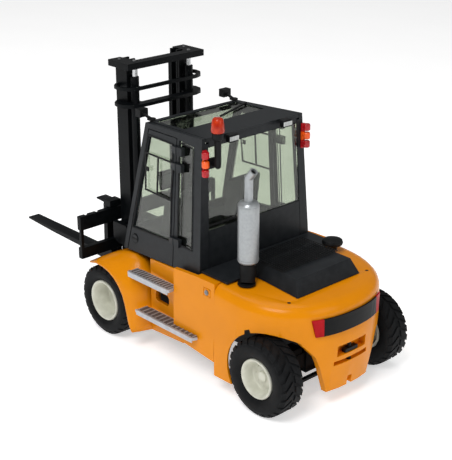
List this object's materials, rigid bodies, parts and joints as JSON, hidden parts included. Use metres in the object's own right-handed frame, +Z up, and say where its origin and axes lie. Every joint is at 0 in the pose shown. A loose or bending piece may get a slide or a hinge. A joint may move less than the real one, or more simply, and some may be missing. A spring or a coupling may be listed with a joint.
{
  "type": "forklift truck model",
  "caption": "Scale model of a large counterbalance forklift truck in yellow and black, with a glazed cab, two-stage mast, carriage, forks, opening doors and steered rear wheels",
  "frame": {"origin": "on the ground under the middle of the bounding box", "axes": "+X towards the fork tips, +Y to the truck's left, +Z up"},
  "size_m": [0.2059, 0.0838, 0.1281],
  "materials": {
    "yellow_paint": "gloss yellow-orange enamel",
    "black_paint": "satin black",
    "cab_grey": "satin dark grey",
    "black_plastic": "fine-grained moulded",
    "clear_glass": "clear with a faint green tint",
    "seat": "soft matte grain",
    "dashboard": "fine-grained moulded",
    "silver_paint": "satin silver",
    "amber_lens": "tinted translucent",
    "red_lens": "tinted translucent",
    "cream_rim": "satin cream",
    "tyre_rubber": "matte rubber",
    "bright_steel": "fine brushed"
  },
  "bodies": {
    "chassis": {"chassis_frame": "black_paint", "fender_left": "yellow_paint", "fender_right": "yellow_paint", "body_side_left": "yellow_paint", "body_side_right": "yellow_paint", "counterweight": "yellow_paint", "engine_hood": "black_plastic", "cab_tub": "cab_grey", "cab_side_left": "cab_grey", "cab_side_right": "cab_grey", "cab_roof": "cab_grey", "windscreen": "clear_glass", "rear_window": "clear_glass", "roof_glass": "clear_glass", "quarter_glass_left": "clear_glass", "quarter_glass_right": "clear_glass", "driver_seat": "seat", "dashboard": "dashboard", "exhaust_muffler": "silver_paint", "exhaust_elbow": "black_plastic", "air_precleaner": "black_plastic", "beacon_pole": "black_plastic", "beacon_lens": "amber_lens", "rear_work_light_left": "black_plastic", "rear_work_light_right": "black_plastic", "front_work_light_left": "black_plastic", "front_work_light_right": "black_plastic", "tail_lamp_left": "red_lens", "tail_lamp_right": "red_lens", "rear_light_bar": "red_lens", "upper_step_left": "silver_paint", "upper_step_right": "silver_paint", "lower_step_left": "silver_paint", "lower_step_right": "silver_paint"},
    "door_left": {"door_left": "cab_grey", "door_glass_left": "clear_glass"},
    "wheel_front_left": {"rim_front_left": "cream_rim", "tyre_front_left": "tyre_rubber"},
    "knuckle_left": {"steer_knuckle_left": "black_paint"},
    "wheel_rear_left": {"rim_rear_left": "cream_rim", "tyre_rear_left": "tyre_rubber"},
    "fork_left": {"fork_left": "black_paint"},
    "tilt_barrel_left": {"tilt_barrel_left": "black_paint"},
    "tilt_rod_left": {"tilt_rod_left": "bright_steel"},
    "door_right": {"door_right": "cab_grey", "door_glass_right": "clear_glass"},
    "wheel_front_right": {"rim_front_right": "cream_rim", "tyre_front_right": "tyre_rubber"},
    "knuckle_right": {"steer_knuckle_right": "black_paint"},
    "wheel_rear_right": {"rim_rear_right": "cream_rim", "tyre_rear_right": "tyre_rubber"},
    "fork_right": {"fork_right": "black_paint"},
    "tilt_barrel_right": {"tilt_barrel_right": "black_paint"},
    "tilt_rod_right": {"tilt_rod_right": "bright_steel"},
    "steering_wheel": {"steering_wheel": "black_plastic"},
    "tow_pin": {"tow_pin": "black_plastic"},
    "tie_rod": {"tie_rod": "black_paint"},
    "mast_outer": {"mast_outer": "black_paint"},
    "mast_inner": {"mast_inner": "black_paint"},
    "carriage": {"carriage": "black_paint"}
  },
  "joints": [
    {"name": "mast_tilt", "type": "hinge", "parent": "chassis", "child": "mast_outer", "pos_m": [0.01865, 0, 0.017], "axis": [0, 1, 0], "range_deg": [-4, 5]},
    {"name": "tilt_barrel_pivot_left", "type": "hinge", "parent": "chassis", "child": "tilt_barrel_left", "pos_m": [-0.0144, 0.0191, 0.028], "axis": [0, 1, 0], "range_deg": [-1.3, 1.6]},
    {"name": "tilt_rod_stroke_left", "type": "slide", "parent": "tilt_barrel_left", "child": "tilt_rod_left", "axis": [0.9034, 0, 0.4288], "range_m": [-0.0019, 0.0023]},
    {"name": "tilt_barrel_pivot_right", "type": "hinge", "parent": "chassis", "child": "tilt_barrel_right", "pos_m": [-0.0144, -0.0191, 0.028], "axis": [0, 1, 0], "range_deg": [-1.3, 1.6]},
    {"name": "tilt_rod_stroke_right", "type": "slide", "parent": "tilt_barrel_right", "child": "tilt_rod_right", "axis": [0.9034, 0, 0.4288], "range_m": [-0.0019, 0.0023]},
    {"name": "mast_lift", "type": "slide", "parent": "mast_outer", "child": "mast_inner", "axis": [0, 0, 1], "range_m": [0, 0.055]},
    {"name": "carriage_lift", "type": "slide", "parent": "mast_inner", "child": "carriage", "axis": [0, 0, 1], "range_m": [0, 0.06]},
    {"name": "fork_shift_left", "type": "slide", "parent": "carriage", "child": "fork_left", "axis": [0, 1, 0], "range_m": [-0.0135, 0.0155]},
    {"name": "fork_shift_right", "type": "slide", "parent": "carriage", "child": "fork_right", "axis": [0, 1, 0], "range_m": [-0.0135, 0.0155]},
    {"name": "front_wheel_spin_left", "type": "hinge", "parent": "chassis", "child": "wheel_front_left", "pos_m": [0.01865, 0.033, 0.017], "axis": [0, 1, 0], "continuous": true},
    {"name": "steer_left", "type": "hinge", "parent": "chassis", "child": "knuckle_left", "pos_m": [-0.08415, 0.0233, 0.017], "axis": [0, 0, 1], "range_deg": [-25, 25]},
    {"name": "rear_wheel_spin_left", "type": "hinge", "parent": "knuckle_left", "child": "wheel_rear_left", "pos_m": [-0.08415, 0.033, 0.017], "axis": [0, 1, 0], "continuous": true},
    {"name": "front_wheel_spin_right", "type": "hinge", "parent": "chassis", "child": "wheel_front_right", "pos_m": [0.01865, -0.033, 0.017], "axis": [0, 1, 0], "continuous": true},
    {"name": "steer_right", "type": "hinge", "parent": "chassis", "child": "knuckle_right", "pos_m": [-0.08415, -0.0233, 0.017], "axis": [0, 0, 1], "range_deg": [-25, 25]},
    {"name": "rear_wheel_spin_right", "type": "hinge", "parent": "knuckle_right", "child": "wheel_rear_right", "pos_m": [-0.08415, -0.033, 0.017], "axis": [0, 1, 0], "continuous": true},
    {"name": "tie_rod_shift", "type": "slide", "parent": "chassis", "child": "tie_rod", "axis": [0, 1, 0], "range_m": [-0.0027, 0.0027]},
    {"name": "door_swing_left", "type": "hinge", "parent": "chassis", "child": "door_left", "pos_m": [-0.0258, 0.03179, 0.075], "axis": [0, -0.0629, 0.998], "range_deg": [0, 90]},
    {"name": "door_swing_right", "type": "hinge", "parent": "chassis", "child": "door_right", "pos_m": [-0.0258, -0.03179, 0.075], "axis": [0, 0.0629, 0.998], "range_deg": [-90, 0]},
    {"name": "tow_pin_lift", "type": "slide", "parent": "chassis", "child": "tow_pin", "axis": [0, 0, 1], "range_m": [0, 0.003]},
    {"name": "steering_wheel_turn", "type": "hinge", "parent": "chassis", "child": "steering_wheel", "pos_m": [-0.005, 0, 0.0714], "axis": [-0.5879, 0, 0.8089], "continuous": true}
  ],
  "couplings": [
    {"joint": "tilt_barrel_pivot_left", "follows": "mast_tilt", "ratio": 0.2813},
    {"joint": "tilt_rod_stroke_left", "follows": "mast_tilt", "m_per_rad": 0.02411},
    {"joint": "tilt_barrel_pivot_right", "follows": "mast_tilt", "ratio": 0.2813},
    {"joint": "tilt_rod_stroke_right", "follows": "mast_tilt", "m_per_rad": 0.02411},
    {"joint": "steer_right", "follows": "steer_left", "ratio": 1},
    {"joint": "tie_rod_shift", "follows": "steer_left", "m_per_rad": -0.006}
  ]
}
